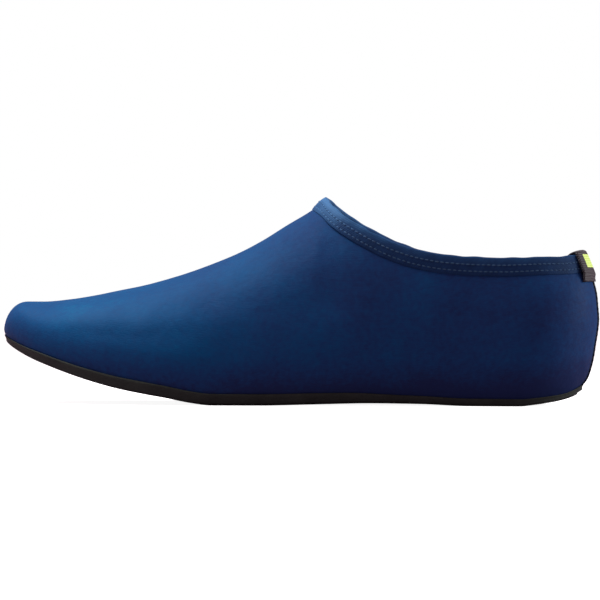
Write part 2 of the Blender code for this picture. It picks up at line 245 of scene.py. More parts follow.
# Top line: shares of the climb from the toe's height to the peak. Behind the peak
# it is the line on which the wall would close over the ankle
TOP_LINE = Table("station climb", (
    (0.000, 0.82),
    (0.100, 0.92),
    (0.200, 1.03),
    (0.300, 1.11),
    (0.400, 1.10),
    (0.453, 1.00),
    (0.478, 0.895),
    (0.519, 0.750),
    (0.559, 0.603),
    (0.599, 0.480),
    (0.640, 0.380),
    (0.680, 0.294),
    (0.721, 0.220),
    (0.761, 0.159),
    (0.801, 0.112),
    (0.842, 0.063),
    (0.882, 0.026),
    (0.933, 0.000),
    (1.000, 0.000),
))

# Collar edge: shares of the climb from the collar at the heel to the peak
COLLAR_LINE = Table("station climb", (
    (0.000, 0.060),
    (0.030, 0.055),
    (0.055, 0.015),
    (0.100, 0.000),
    (0.150, -0.015),
    (0.200, 0.000),
    (0.246, 0.033),
    (0.286, 0.098),
    (0.327, 0.217),
    (0.367, 0.395),
    (0.397, 0.560),
    (0.418, 0.693),
    (0.436, 0.838),
    (0.453, 1.000),
))

# Plan: how far the width follows the ball's and not the heel's, and the inner and
# the outer half as shares of that width, before the toe and the heel are rounded
PLAN = Table("station ball inner outer", (
    (0.00, 0.00, 0.500, 0.500),
    (0.18, 0.00, 0.485, 0.495),
    (0.30, 0.05, 0.440, 0.505),
    (0.40, 0.20, 0.405, 0.520),
    (0.50, 0.50, 0.410, 0.510),
    (0.60, 0.85, 0.445, 0.490),
    (0.70, 1.00, 0.487, 0.490),
    (0.80, 1.00, 0.460, 0.470),
    (0.88, 1.00, 0.410, 0.410),
    (1.00, 1.00, 0.340, 0.330),
))

# Cross-section: width at the sole as a share of the widest, height of the widest
# place as a share of the section, and how square the dome above it is
SECTION = Table("station foot belly squareness", (
    (0.00, 0.80, 0.36, 2.00),
    (0.20, 0.84, 0.36, 2.05),
    (0.40, 0.86, 0.30, 1.95),
    (0.50, 0.90, 0.26, 1.90),
    (0.60, 0.93, 0.24, 2.00),
    (0.72, 0.95, 0.26, 2.15),
    (0.85, 0.93, 0.30, 2.30),
    (1.00, 0.91, 0.35, 2.40),
))

# Back of the heel: how far it stands in front of the rearmost point, as a share of
# the heel's curve, at each share of the wall's height
HEEL_BACK = Table("height setback", (
    (0.00, 0.80),
    (0.06, 0.53),
    (0.15, 0.34),
    (0.24, 0.22),
    (0.33, 0.14),
    (0.43, 0.045),
    (0.52, 0.00),
    (0.61, 0.04),
    (0.70, 0.09),
    (0.80, 0.23),
    (0.89, 0.45),
    (1.00, 0.73),
))

# Sole edge: rise of the lip, thickness of the sheet and width of the rim, as shares of
# their sizes
SOLE_EDGE = Table("station lip sheet rim", (
    (0.00, 0.00, 0.60, 0.20),
    (0.10, 0.02, 0.90, 0.50),
    (0.22, 0.04, 1.00, 0.80),
    (0.32, 0.25, 1.00, 1.00),
    (0.42, 0.75, 1.00, 1.00),
    (0.66, 0.85, 1.00, 1.00),
    (0.76, 1.00, 1.00, 1.00),
    (0.90, 1.00, 1.00, 0.75),
    (0.96, 0.70, 0.80, 0.40),
    (1.00, 0.25, 0.45, 0.10),
))

# Pull tab in profile, from its outer lower edge over the top to the inner lower edge:
# the share of the leg's height, of the fold's rise, of the way through the wall, and
# of the step down from the tape's face to the upper's
TAB_PROFILE = Table("turn down up through step", (
    (0.00, 1.00, 0.00, 0.00, 1.0),
    (0.05, 0.88, 0.00, 0.00, 0.8),
    (0.10, 0.74, 0.00, 0.00, 0.1),
    (0.23, 0.37, 0.00, 0.00, 0.0),
    (0.37, 0.00, 0.00, 0.00, 0.0),
    (0.43, 0.00, 0.55, 0.03, 0.0),
    (0.47, 0.00, 0.88, 0.20, 0.0),
    (0.51, 0.00, 1.00, 0.50, 0.0),
    (0.55, 0.00, 0.88, 0.80, 0.0),
    (0.59, 0.00, 0.55, 0.97, 0.0),
    (0.65, 0.00, 0.00, 1.00, 0.0),
    (0.82, 0.50, 0.00, 1.00, 0.0),
    (1.00, 1.00, 0.00, 1.00, 0.0),
))

# Lip and side of the sole in profile, from the inside of the lip down to the
# underside: the share of the lip's rise, of the rim's thickness and of the sheet
LIP_PROFILE = ((1.00, 0.00), (1.08, 0.35), (1.02, 0.75), (0.80, 0.92), (0.40, 1.00))
SIDE_PROFILE = ((0.15, 1.00), (0.50, 0.88), (0.80, 0.50))

# Outer leg of the collar tape: how far its face sinks towards the fabric, as a share of
# the tape's whole stand-off, at shares of the leg's height from the fold down. The seam
# is sewn in the dip
TAPE_LEG = (
    (0.00, 0.00),
    (0.25, 0.08),
    (0.55, 0.26),
    (0.70, 0.42),
    (0.75, 0.56),
    (0.80, 0.50),
    (0.88, 0.58),
    (0.95, 0.74),
    (1.00, 0.84),
)

# Waves of the tape's edge: how many go round the collar, their share of its height
# and where they start, in radians
TAPE_WAVES = ((21, 1.0, 0.0), (34, 0.6, 1.0))

# Rows of stitches on the tape: name, 1 outside or -1 inside, and share of the leg's height
TAPE_STITCHES = (
    ("tape_stitches_lower", 1, 0.750),
    ("tape_stitches_upper", 1, 0.375),
    ("tape_stitches_inside", -1, 0.750),
)

# Rows of stitches down the heel's seam, on two columns of its tape
SEAM_STITCHES = (("seam_stitches_outer", 1), ("seam_stitches_inner", -2))

# Soft creases of the fabric: station and height of both ends, as shares of the length
# and of the peak's height, then the half width and the depth, over 0 for a ridge
CREASES = (
    ("outer", 0.445, 0.80, 0.440, 0.52, 0.0090, -0.0006),
    ("outer", 0.440, 0.52, 0.600, 0.28, 0.0110, -0.0006),
    ("outer", 0.700, 0.30, 0.560, 0.36, 0.0120, 0.0005),
    ("outer", 0.860, 0.41, 0.740, 0.37, 0.0050, 0.0005),
    ("outer", 0.830, 0.35, 0.680, 0.32, 0.0055, -0.0006),
    ("outer", 0.200, 0.42, 0.090, 0.20, 0.0120, -0.0005),
    ("inner", 0.445, 0.80, 0.430, 0.50, 0.0090, -0.0006),
    ("inner", 0.430, 0.50, 0.560, 0.26, 0.0110, -0.0006),
    ("inner", 0.210, 0.42, 0.100, 0.20, 0.0120, -0.0005),
)


def cap(share):
    """Quarter of a circle: 0 at the tip and 1 from the full radius on."""
    return np.sqrt(np.maximum(0, 1 - (1 - np.clip(share, 0, 1)) ** 2))


def underside(station):
    """Height of the sole's underside."""
    toe = TOE_SPRING * UNDERSIDE.at("toe", station)
    arch = ARCH_LIFT * UNDERSIDE.at("arch", station)
    heel = HEEL_SPRING * UNDERSIDE.at("heel", station)
    return toe + arch + heel


def sheet(station):
    """Thickness of the sole's sheet."""
    return SOLE_THICKNESS * SOLE_EDGE.at("sheet", station)


def foot_line(station):
    """Height of the upper's lower edge, just clear of the sole inside its lip."""
    return underside(station) + sheet(station) + GAP


def top_line(station):
    """Height at which a section closes, with the rounded nose of the toe."""
    climb = PEAK_HEIGHT - PEAK_DROP - TOE_HEIGHT
    height = TOE_HEIGHT + climb * TOP_LINE.at("climb", station)
    tip = foot_line(1.0)
    return tip + (height - tip) * cap((1 - station) * LENGTH / NOSE_ROUND)


def collar_line(station):
    """Height of the fabric edge at the collar."""
    low = COLLAR_HEIGHT - FABRIC_DROP
    climb = PEAK_HEIGHT - PEAK_DROP - low
    return low + climb * COLLAR_LINE.at("climb", station)


def closing(station):
    """Share of the wall at which a section closes: over 1 where the collar is open."""
    behind = np.minimum(station, PEAK_STATION)
    foot = foot_line(behind)
    opened = (top_line(behind) - foot) / (collar_line(behind) - foot)
    vamp = (1 - np.clip(station, PEAK_STATION, 1)) / (1 - PEAK_STATION)
    ahead = np.arccos(1 - vamp * (1 - np.cos(RING_FAN))) / RING_FAN
    return np.where(station < PEAK_STATION, opened, ahead)


def half_width(station, height, setback, tuck, inner):
    """Distance from the centre line at a share of the section's height."""
    ball = PLAN.at("ball", station)
    width = HEEL_WIDTH + (BALL_WIDTH - HEEL_WIDTH) * ball
    width = width * np.where(inner, PLAN.at("inner", station), PLAN.at("outer", station))
    width = width * cap(((1 - station) * LENGTH - tuck) / TOE_ROUND)
    width = width * cap((station * LENGTH - setback) / HEEL_ROUND)
    foot = SECTION.at("foot", station)
    belly = SECTION.at("belly", station)
    power = SECTION.at("squareness", station)
    below = np.clip(1 - height / belly, 0, 1)
    above = np.clip((height - belly) / (1 - belly), 0, 1)
    flare = 1 - (1 - foot) * below ** 2
    dome = (1 - above ** power) ** (1 / power)
    return width * flare * dome


def centre_line(station):
    """Sideways swing of the toe towards the inner side of the foot."""
    forward = np.clip((station - SWING_STATION) / (1 - SWING_STATION), 0, 1)
    return TOE_SWING * forward ** 2 * (3 - 2 * forward)


def ring(share, steps=RING_STEPS):
    """Closed loop round the upper at a share of its wall's height, from the heel
    along the outer side to the toe and back along the inner side. Near the collar
    the points keep to upright lines and crowd towards the peak."""
    setback = HEEL_CURVE * HEEL_BACK.at("setback", share)
    tuck = TOE_TUCK * (1 - min(share / TUCK_SHARE, 1)) ** 2
    back = setback / LENGTH
    vamp = (1 - np.cos(RING_FAN * share)) / (1 - np.cos(RING_FAN))
    front = 1 - (1 - PEAK_STATION) * vamp - tuck / LENGTH
    turn = np.arange(2 * steps) / steps
    side = np.sign(turn - 1)
    even = (1 - np.cos(np.pi * turn)) / 2
    crowd = 1 / (front - back)
    station = back + even / (1 + (crowd - 1) * even)
    height = np.minimum(share / np.maximum(closing(station), TINY), 1)
    y = centre_line(station) + side * half_width(station, height, setback, tuck, side > 0)
    z = foot_line(station) + height * (top_line(station) - foot_line(station))
    return np.stack((LENGTH / 2 - station * LENGTH, y, z), axis=1)


def wall_rows(shares, steps=RING_STEPS):
    """Rings at several shares of the wall's height, with a unit normal beside each point."""
    places = np.stack([ring(share, steps) for share in shares])
    along = np.roll(places, -1, axis=1) - np.roll(places, 1, axis=1)
    normals = np.cross(np.gradient(places, axis=0), along)
    normals /= np.linalg.norm(normals, axis=2, keepdims=True)
    return np.concatenate((places, normals), axis=2)


def walk(rows, distances):
    """Point and normal reached from the first row, at a distance along the wall
    that is given for each column."""
    steps = np.linalg.norm(np.diff(rows[:, :, :3], axis=0), axis=2)
    gone = np.concatenate((np.zeros((1, rows.shape[1])), np.cumsum(steps, axis=0)))
    reached = np.empty(rows.shape[1:])
    for column in range(rows.shape[1]):
        for part in range(rows.shape[2]):
            line = rows[:, column, part]
            reached[column, part] = np.interp(distances[column], gone[:, column], line)
    return reached


def plan_normals(loop):
    """Level unit vectors that point out of a closed loop."""
    along = np.roll(loop, -1, axis=0) - np.roll(loop, 1, axis=0)
    level = np.stack((-along[:, 1], along[:, 0], np.zeros(len(loop))), axis=1)
    return level / np.linalg.norm(level, axis=1, keepdims=True)


def station_of(x):
    """Station of a point by its place along the shoe."""
    return 0.5 - x / LENGTH


def grid_lengths(points, closed):
    """Real length of the surface along its columns and its rows, measured round the
    shoe from the middle column, for every corner of the grid."""
    if closed:
        points = np.concatenate((points, points[:, :1]), axis=1)
    round_steps = np.linalg.norm(np.diff(points, axis=1), axis=2)
    up_steps = np.linalg.norm(np.diff(points, axis=0), axis=2)
    round_way = np.pad(np.cumsum(round_steps, axis=1), ((0, 0), (1, 0)))
    up_way = np.pad(np.cumsum(up_steps, axis=0), ((1, 0), (0, 0)))
    middle = round_way.shape[1] // 2
    return np.stack((round_way - round_way[:, middle:middle + 1], up_way), axis=2)


def add_grid(name, points, material, closed=True, outward=True):
    """Smooth surface through a grid of points, with its real lengths as UV."""
    rows, columns = points.shape[:2]
    last = columns if closed else columns - 1
    row, column = np.meshgrid(np.arange(rows - 1), np.arange(last), indexing="ij")
    low = row * columns
    after = (column + 1) % columns
    faces = np.stack((low + column, low + columns + column, low + columns + after, low + after), axis=2)
    lengths = grid_lengths(points, closed)
    corners = np.stack((lengths[:-1, :-1], lengths[1:, :-1], lengths[1:, 1:], lengths[:-1, 1:]), axis=2)
    if not outward:
        faces = faces[:, :, ::-1]
        corners = corners[:, :, ::-1]
    mesh = bpy.data.meshes.new(name)
    mesh.from_pydata(points.reshape(-1, 3).tolist(), [], faces.reshape(-1, 4).tolist())
    mesh.uv_layers.new(name="lengths").uv.foreach_set("vector", corners.ravel())
    return add_piece(name, mesh, material)


def add_piece(name, mesh, material):
    """Object that rides on the shoe and is moved as the solids were."""
    mesh.shade_smooth()
    mesh.materials.append(material)
    piece = bpy.data.objects.new(name, mesh)
    bpy.context.scene.collection.objects.link(piece)
    for vertex in mesh.vertices:
        vertex.co += SHIFT
    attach(piece, "root")
    return piece


def thicken(piece, thickness, offset=-1):
    """Give an open surface its material's thickness."""
    shell = piece.modifiers.new("wall", "SOLIDIFY")
    shell.thickness = thickness
    shell.offset = offset
    shell.use_even_offset = True
    return shell


class Finish:
    """Material under construction: its nodes are added and linked one by one."""

    def __init__(self, name, **constants):
        self.material = bpy.data.materials.new(name)
        self.material.use_nodes = True
        self.tree = self.material.node_tree
        self.shader = self.tree.nodes["Principled BSDF"]
        for socket, value in constants.items():
            self.shader.inputs[socket.replace("_", " ")].default_value = value

    def node(self, kind, output=0, inputs=(), **settings):
        """Output socket of a new node, whose inputs are values or other sockets."""
        made = self.tree.nodes.new("ShaderNode" + kind)
        for setting, value in settings.items():
            setattr(made, setting, value)
        for socket, value in dict(inputs).items():
            if isinstance(value, bpy.types.NodeSocket):
                self.tree.links.new(value, made.inputs[socket])
            else:
                made.inputs[socket].default_value = value
        return made.outputs[output]

    def place(self, stretch=(1, 1, 1), source="Object"):
        """Place on the object in metres, or its UV lengths, stretched on each axis."""
        spot = self.node("TexCoord", source)
        return self.node("Mapping", inputs={"Vector": spot, "Scale": stretch})

    def along(self, axis, source="Object"):
        """Place on one axis."""
        return self.node("SeparateXYZ", axis, {"Vector": self.place(source=source)})

    def noise(self, size, detail=2, stretch=(1, 1, 1), source="Object"):
        """Soft noise whose features have a real size."""
        where = self.place(stretch, source)
        return self.node("TexNoise", "Fac", {"Vector": where, "Scale": 1 / size, "Detail": detail})

    def bands(self, pitch, direction, bend=0.0, source="UV"):
        """Ribs with a real pitch, from 0 between them to 1 on them."""
        where = self.place(source=source)
        scale = 2 * np.pi / (BAND_RADIANS * pitch)
        inputs = {"Vector": where, "Scale": scale, "Distortion": bend, "Detail": 1}
        return self.node("TexWave", "Fac", inputs, bands_direction=direction)

    def sum(self, *terms):
        """Sum of (factor, socket) pairs."""
        total = None
        for factor, socket in terms:
            inputs = {0: socket, 1: factor, 2: 0.0 if total is None else total}
            total = self.node("Math", inputs=inputs, operation="MULTIPLY_ADD")
        return total

    def tones(self, factor, *stops):
        """Colours along a ramp: pairs of a place from 0 to 1 and a colour."""
        ramp = self.tree.nodes.new("ShaderNodeValToRGB")
        self.tree.links.new(factor, ramp.inputs["Fac"])
        elements = ramp.color_ramp.elements
        while len(elements) < len(stops):
            elements.new(0.5)
        for element, (place, colour) in zip(elements, stops):
            element.position = place
            element.color = (*colour, 1)
        return ramp.outputs["Color"]

    def between(self, value, start, end):
        """How far a value has gone from a start to an end, from 0 to 1."""
        return self.node("MapRange", inputs={"Value": value, "From Min": start, "From Max": end})

    def range(self, factor, low, high):
        """Value from low to high as the factor goes from 0 to 1."""
        return self.node("MapRange", inputs={"Value": factor, "To Min": low, "To Max": high})

    def link(self, socket, value):
        """Give the shader a socket's value."""
        self.tree.links.new(value, self.shader.inputs[socket])

    def bump(self, height, depth, before=None):
        """Relief of a real depth, on top of the relief that came before it."""
        inputs = {"Height": height, "Distance": depth, "Strength": 1.0}
        if before is not None:
            inputs["Normal"] = before
        return self.node("Bump", inputs=inputs)


def stretch_fabric():
    """Satin jersey over thin foam: fine wales along the shoe and soft cloudy tone, with painted shade
    towards the heel and near the sole.
    """
    cloth = Finish(
        "stretch_fabric",
        Specular_IOR_Level=0.05,
        Specular_Tint=(0.2, 0.6, 1.0, 1),
        Sheen_Weight=0.03,
        Sheen_Roughness=0.35,
        Sheen_Tint=(0.10, 0.45, 0.9, 1),
    )
    cloud = cloth.noise(size=0.030, detail=3)
    fleck = cloth.noise(size=0.0020, detail=3)
    yarn = cloth.noise(size=0.0007, detail=2, stretch=(0.35, 1.0, 1.0), source="UV")
    loops = cloth.bands(pitch=0.00045, direction="Y", bend=2.0)
    knit = cloth.sum((0.75, yarn), (0.25, loops))
    heather = cloth.sum((0.6, fleck), (0.4, yarn))
    # Painted shade: darker from the toe back towards the heel and near the sole; the tone ramp runs from a
    # purplish shaded colour to a pale cyan lit colour
    painted_shade_back = cloth.between(cloth.along("X"), PALE_TO, DARK_FROM)
    edge = cloth.between(cloth.along("Y", "UV"), EDGE_SHADE, 0.0)
    mixed = cloth.sum((0.5, cloud), (0.5, heather), (-0.3, painted_shade_back), (-0.36, edge))
    tone = cloth.tones(
        mixed,
        (0.00, (0.0180, 0.032, 0.110)),
        (0.20, (0.0150, 0.054, 0.172)),
        (0.50, (0.0075, 0.087, 0.240)),
        (0.70, (0.0045, 0.134, 0.292)),
    )
    cloth.link("Base Color", tone)
    cloth.link("Roughness", cloth.range(knit, low=0.42, high=0.60))
    pucker = cloth.bump(cloth.noise(size=0.009, detail=3), depth=0.0005)
    cloth.link("Normal", cloth.bump(knit, depth=0.00010, before=pucker))
    return cloth.material


def lining_fabric():
    """Dark jersey inside the upper."""
    lining = Finish("lining_fabric", Specular_IOR_Level=0.2, Sheen_Weight=0.15)
    ribs = lining.bands(pitch=0.0009, direction="X", bend=0.8)
    knit = lining.sum((0.6, ribs), (0.4, lining.noise(size=0.0008, detail=1)))
    lining.link("Base Color", lining.tones(knit, (0.2, (0.006, 0.010, 0.022)), (0.8, (0.013, 0.022, 0.045))))
    lining.link("Roughness", lining.range(knit, low=0.75, high=0.9))
    lining.link("Normal", lining.bump(knit, depth=0.0001))
    return lining.material


def collar_tape():
    """Ribbed elastic tape, with a painted highlight on its fold and high on the shoe at the collar's peak.
    """
    tape = Finish(
        "collar_tape",
        Specular_IOR_Level=0.1,
        Specular_Tint=(0.3, 0.65, 1.0, 1),
        Sheen_Weight=0.05,
        Sheen_Roughness=0.4,
        Sheen_Tint=(0.3, 0.6, 0.9, 1),
    )
    ribs = tape.bands(pitch=0.0009, direction="X", bend=0.6)
    fuzz = tape.noise(size=0.0009, detail=2, stretch=(1.0, 0.5, 1.0), source="UV")
    blotch = tape.noise(size=0.006, detail=3)
    weave = tape.sum((0.4, ribs), (0.6, fuzz))
    # Painted highlight: the tape grows pale high on the shoe, at the collar's peak, where the light falls
    painted_highlight = tape.between(tape.along("Z"), *TAPE_HIGHLIGHT)
    up = tape.along("Y", "UV")
    # Painted highlight along the top of the tape's fold
    near_fold = tape.between(up, *FOLD_FROM)
    past_fold = tape.between(up, *FOLD_TO)
    mixed = tape.sum((0.3, weave), (0.4, blotch), (0.5, painted_highlight), (0.16, near_fold), (-0.16, past_fold))
    tone = tape.tones(
        mixed,
        (0.25, (0.0110, 0.032, 0.092)),
        (0.45, (0.0140, 0.046, 0.132)),
        (0.60, (0.0180, 0.070, 0.180)),
        (0.90, (0.0600, 0.180, 0.380)),
    )
    tape.link("Base Color", tone)
    tape.link("Roughness", tape.range(weave, low=0.5, high=0.7))
    tape.link("Normal", tape.bump(weave, depth=0.00012))
    return tape.material


def thread(name, dark, light):
    """Twisted sewing thread, with a painted highlight high on the shoe, at the collar's peak."""
    yarn = Finish(name, Roughness=0.6, Specular_IOR_Level=0.1, Specular_Tint=(0.3, 0.65, 1.0, 1))
    twist = yarn.noise(size=0.0003, detail=1)
    # Painted highlight: the thread grows pale high on the shoe, like the tape under it
    painted_highlight = yarn.between(yarn.along("Z"), *THREAD_HIGHLIGHT)
    mixed = yarn.sum((0.4, twist), (0.6, painted_highlight))
    yarn.link("Base Color", yarn.tones(mixed, (0.12, dark), (0.28, light), (0.65, (0.075, 0.200, 0.400))))
    yarn.link("Normal", yarn.bump(twist, depth=0.00005))
    return yarn.material


def seam_tape_with_painted_shade():
    """Matt tape with fine cross ribs, glued over the heel's seam, made near black so that it also paints the
    shade along the heel's outline.
    """
    tape = Finish("seam_tape_with_painted_shade", Specular_IOR_Level=0.15)
    bands = tape.bands(pitch=0.0008, direction="Y", bend=0.3)
    ribs = tape.sum((0.5, bands), (0.5, tape.noise(size=0.0005, detail=2)))
    # Painted shade: the near-black tones stand in for the shade along the heel's outline
    tape.link("Base Color", tape.tones(ribs, (0.2, (0.003, 0.005, 0.011)), (0.8, (0.008, 0.013, 0.028))))
    tape.link("Roughness", tape.range(ribs, low=0.7, high=0.9))
    tape.link("Normal", tape.bump(ribs, depth=0.0001))
    return tape.material


def black_webbing():
    """Ribbed polyester webbing."""
    webbing = Finish("black_webbing", Specular_IOR_Level=0.45, Sheen_Weight=0.25, Sheen_Roughness=0.3)
    ribs = webbing.bands(pitch=RIB_PITCH, direction="Y", bend=0.0)
    picks = webbing.bands(pitch=0.0007, direction="X", bend=0.3)
    weave = webbing.sum((0.6, ribs), (0.3, picks), (0.2, webbing.noise(size=0.0004, detail=1)))
    tone = webbing.tones(weave, (0.2, (0.008, 0.008, 0.010)), (0.9, (0.045, 0.043, 0.052)))
    webbing.link("Base Color", tone)
    webbing.link("Roughness", webbing.range(weave, low=0.45, high=0.65))
    webbing.link("Normal", webbing.bump(weave, depth=0.0002))
    return webbing.material


def neon_print_with_painted_glow():
    """Plain neon yellow-green patch on the webbing, with a painted glow: it gives off light though it is no
    lamp.
    """
    # Painted glow: the emission makes the patch shine on its own
    neon = Finish("neon_patch_painted_glow", Roughness=0.5, Emission_Color=(0.70, 1.0, 0.25, 1), Emission_Strength=0.25)
    bands = neon.bands(pitch=RIB_PITCH, direction="Y", bend=0.0)
    ribs = neon.sum((0.7, bands), (0.3, neon.noise(size=0.0004, detail=1)))
    neon.link("Base Color", neon.tones(ribs, (0.1, (0.55, 0.82, 0.12)), (0.8, (0.80, 1.0, 0.32))))
    neon.link("Normal", neon.bump(ribs, depth=0.00012))
    return neon.material


def black_rubber():
    """Moulded rubber, black with a slight olive cast."""
    rubber = Finish("black_rubber", Specular_IOR_Level=0.25)
    dust = rubber.noise(size=0.010, detail=4)
    grain = rubber.noise(size=0.0007, detail=2)
    mixed = rubber.sum((0.6, dust), (0.4, grain))
    tone = rubber.tones(
        mixed,
        (0.25, (0.011, 0.017, 0.014)),
        (0.55, (0.024, 0.035, 0.029)),
        (0.85, (0.044, 0.058, 0.046)),
    )
    rubber.link("Base Color", tone)
    rubber.link("Roughness", rubber.range(mixed, low=0.5, high=0.75))
    rubber.link("Normal", rubber.bump(grain, depth=0.0001))
    return rubber.material


def liner_foam():
    """Dark brushed cloth on the foam insole."""
    liner = Finish("liner_foam", Specular_IOR_Level=0.2, Sheen_Weight=0.3)
    nap = liner.sum((0.6, liner.noise(size=0.0006, detail=2)), (0.4, liner.noise(size=0.008, detail=2)))
    liner.link("Base Color", liner.tones(nap, (0.25, (0.008, 0.009, 0.012)), (0.75, (0.025, 0.028, 0.036))))
    liner.link("Roughness", liner.range(nap, low=0.8, high=0.95))
    liner.link("Normal", liner.bump(nap, depth=0.0003))
    return liner.material


def crease_depth(points):
    """How far the fabric stands out of its plain surface, over 0 for a ridge."""
    station = station_of(points[..., 0])
    height = points[..., 2]
    depth = np.zeros(station.shape)
    for side, from_station, from_height, to_station, to_height, reach, rise in CREASES:
        start = np.array((from_station * LENGTH, from_height * PEAK_HEIGHT))
        end = np.array((to_station * LENGTH, to_height * PEAK_HEIGHT))
        way = end - start
        place = np.stack((station * LENGTH, height), axis=-1) - start
        gone = np.clip(place @ way / (way @ way), 0, 1)
        off = np.linalg.norm(place - gone[..., None] * way, axis=-1)
        on_side = points[..., 1] < 0 if side == "outer" else points[..., 1] > 0
        depth += np.where(on_side, rise * np.exp(-(off / reach) ** 2), 0)
    return depth


def build_upper():
    """Fabric wall with its soft creases, and its dark lining."""
    rows = wall_rows(np.linspace(0, 1, WALL_ROWS))
    points = rows[:, :, :3] + crease_depth(rows[:, :, :3])[..., None] * rows[:, :, 3:]
    upper = add_grid("upper_fabric", points, stretch_fabric())
    upper.data.materials.append(lining_fabric())
    shell = thicken(upper, WALL)
    shell.material_offset = 1
    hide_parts("upper")


def build_outsole():
    """Thin rubber sheet with a rounded lip round the upper's lower edge."""
    rows = wall_rows(np.linspace(0, EDGE_REACH, FINE_STEPS))
    base = rows[0, :, :3]
    level = plan_normals(base)
    station = np.clip(station_of(base[:, 0]), 0, 1)
    rise = LIP_LEAST + LIP_HEIGHT * SOLE_EDGE.at("lip", station)
    rim = RIM_THICKNESS * SOLE_EDGE.at("rim", station)[:, None]
    thickness = sheet(station)

    def at_side(out, down):
        loop = base + out * level
        loop[:, 2] = base[:, 2] - GAP - down * thickness
        return loop

    loops = [at_side(GAP, 0)]
    for share, out in LIP_PROFILE:
        reached = walk(rows, share * rise)
        loops.append(reached[:, :3] + (GAP + out * rim) * reached[:, 3:])
    for down, out in SIDE_PROFILE:
        loops.append(at_side(GAP + out * rim, down))
    bottom = base - BOTTOM_ROUND * level
    bottom[:, 2] = underside(np.clip(station_of(bottom[:, 0]), 0, 1))
    loops.append(bottom)
    rubber = black_rubber()
    rim = add_grid("outsole_rim", np.stack(loops), rubber, outward=False)
    under = add_grid("outsole_underside", tread(across(bottom)), rubber, closed=False, outward=False)
    top = add_grid("outsole_top", across(loops[0]), rubber, closed=False)
    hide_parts("outsole")


def across(loop):
    """Grid that spans a closed loop from its outer to its inner side, row by row
    from the heel to the toe."""
    steps = len(loop) // 2
    outer = loop[:steps + 1]
    inner = loop[-np.arange(steps + 1)]
    share = np.linspace(0, 1, ACROSS_STEPS + 1)[None, :, None]
    return outer[:, None] * (1 - share) + inner[:, None] * share


def cut_finer(grid, steps):
    """Grid with a number of even steps from its first row to its last."""
    last = len(grid) - 1
    places = np.linspace(0, last, steps + 1)
    low = np.minimum(places.astype(int), last - 1)
    share = (places - low).reshape(-1, 1, 1)
    return grid[low] * (1 - share) + grid[low + 1] * share


def tread(grid):
    """Underside cut finely, with wavy grooves that fade out towards its edge."""
    grid = cut_finer(grid, TREAD_ROWS)
    grid = cut_finer(grid.swapaxes(0, 1), TREAD_COLUMNS).swapaxes(0, 1)
    x, y = grid[..., 0], grid[..., 1]
    bend = TREAD_BEND * np.sin(2 * np.pi * y / TREAD_WAVE)
    across_ribs = np.cos(2 * np.pi * (x + bend) / TREAD_PITCH)
    groove = np.clip(across_ribs * TREAD_STEEPNESS - TREAD_RIB, 0, 1)
    outer = np.linalg.norm(grid - grid[:, :1], axis=2)
    inner = np.linalg.norm(grid - grid[:, -1:], axis=2)
    ends = np.minimum(x - x.min(), x.max() - x)
    inside = np.clip(np.minimum(np.minimum(outer, inner), ends) / TREAD_MARGIN - 1, 0, 1)
    grid[..., 2] += TREAD_DEPTH * groove * inside
    return grid


def build_insole():
    """Flat foam liner that lies on the sole inside the upper."""
    base = ring(0.0)
    loop = base - (WALL + INSOLE_CLEARANCE) * plan_normals(base)
    loop[:, 2] = foot_line(np.clip(station_of(loop[:, 0]), 0, 1))
    insole = add_grid("insole_liner", across(loop), liner_foam(), closed=False)
    thicken(insole, INSOLE_THICKNESS, offset=1)
    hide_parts("insole")


def fold_profile():
    """Collar tape in profile, in the columns down, up, through and step."""
    legs = np.linspace(1, 0, LEG_STEPS + 1)
    turn = np.linspace(0, np.pi, FOLD_STEPS + 1)[1:-1]
    places, steps = zip(*TAPE_LEG)
    rows = [(down, 0, 0, np.interp(down, places, steps)) for down in legs]
    rows += [(0, np.sin(angle) ** FOLD_SQUARENESS, (1 - np.cos(angle)) / 2, 0) for angle in turn]
    rows += [(down, 0, 1, 0) for down in legs[::-1]]
    return rows


def over_the_edge(rows, profile, leg, inside_leg, rise, outer, inner):
    """Surface that folds over the collar edge: up the outside, over and down the
    inside. outer and inner are how far it stands out from the upper's outer surface."""
    first = rows[0, :, :3]
    rise = np.broadcast_to(rise, rows.shape[1])
    upward = first - walk(rows, rise)[:, :3]
    upward /= np.linalg.norm(upward, axis=1, keepdims=True)
    points = []
    for down, up, through, step in profile:
        length = leg if through < 0.5 else inside_leg
        reached = walk(rows, np.full(rows.shape[1], down * length))
        offset = outer + (inner - outer) * through - step * (TAPE_THICKNESS + TAPE_GAP)
        lift = up * rise[:, None] * upward
        points.append(reached[:, :3] + lift + offset * reached[:, 3:])
    return np.stack(points)


def tape_wave(loop):
    """Slight rise and fall of the tape's edge at each point round the collar."""
    gone = np.cumsum(np.linalg.norm(np.diff(loop, axis=0, prepend=loop[-1:]), axis=1))
    turn = 2 * np.pi * gone / gone[-1]
    return TAPE_WAVE * sum(share * np.sin(count * turn + start) for count, share, start in TAPE_WAVES)


def build_collar_binding():
    """Elastic tape folded over the whole collar edge, with its stitches."""
    rows = wall_rows(np.linspace(1, 1 - EDGE_REACH, FINE_STEPS))
    rows[:, :, 3:] *= -1
    leg = BAND_HEIGHT - FABRIC_DROP
    outer = TAPE_GAP + TAPE_THICKNESS
    rise = FABRIC_DROP + tape_wave(rows[0, :, :3])
    points = over_the_edge(rows, fold_profile(), leg, leg, rise, outer, -WALL - outer)
    tape = add_grid("collar_tape", points, collar_tape())
    thicken(tape, TAPE_THICKNESS)
    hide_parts("collar_binding")
    yarn = thread("tape_thread", (0.030, 0.076, 0.150), (0.054, 0.112, 0.210))
    for name, side, down in TAPE_STITCHES:
        row = round((1 - down) * LEG_STEPS)
        line = points[row if side > 0 else -1 - row]
        stitches = add_stitches(name, line, side * rows[0, :, 3:], yarn)


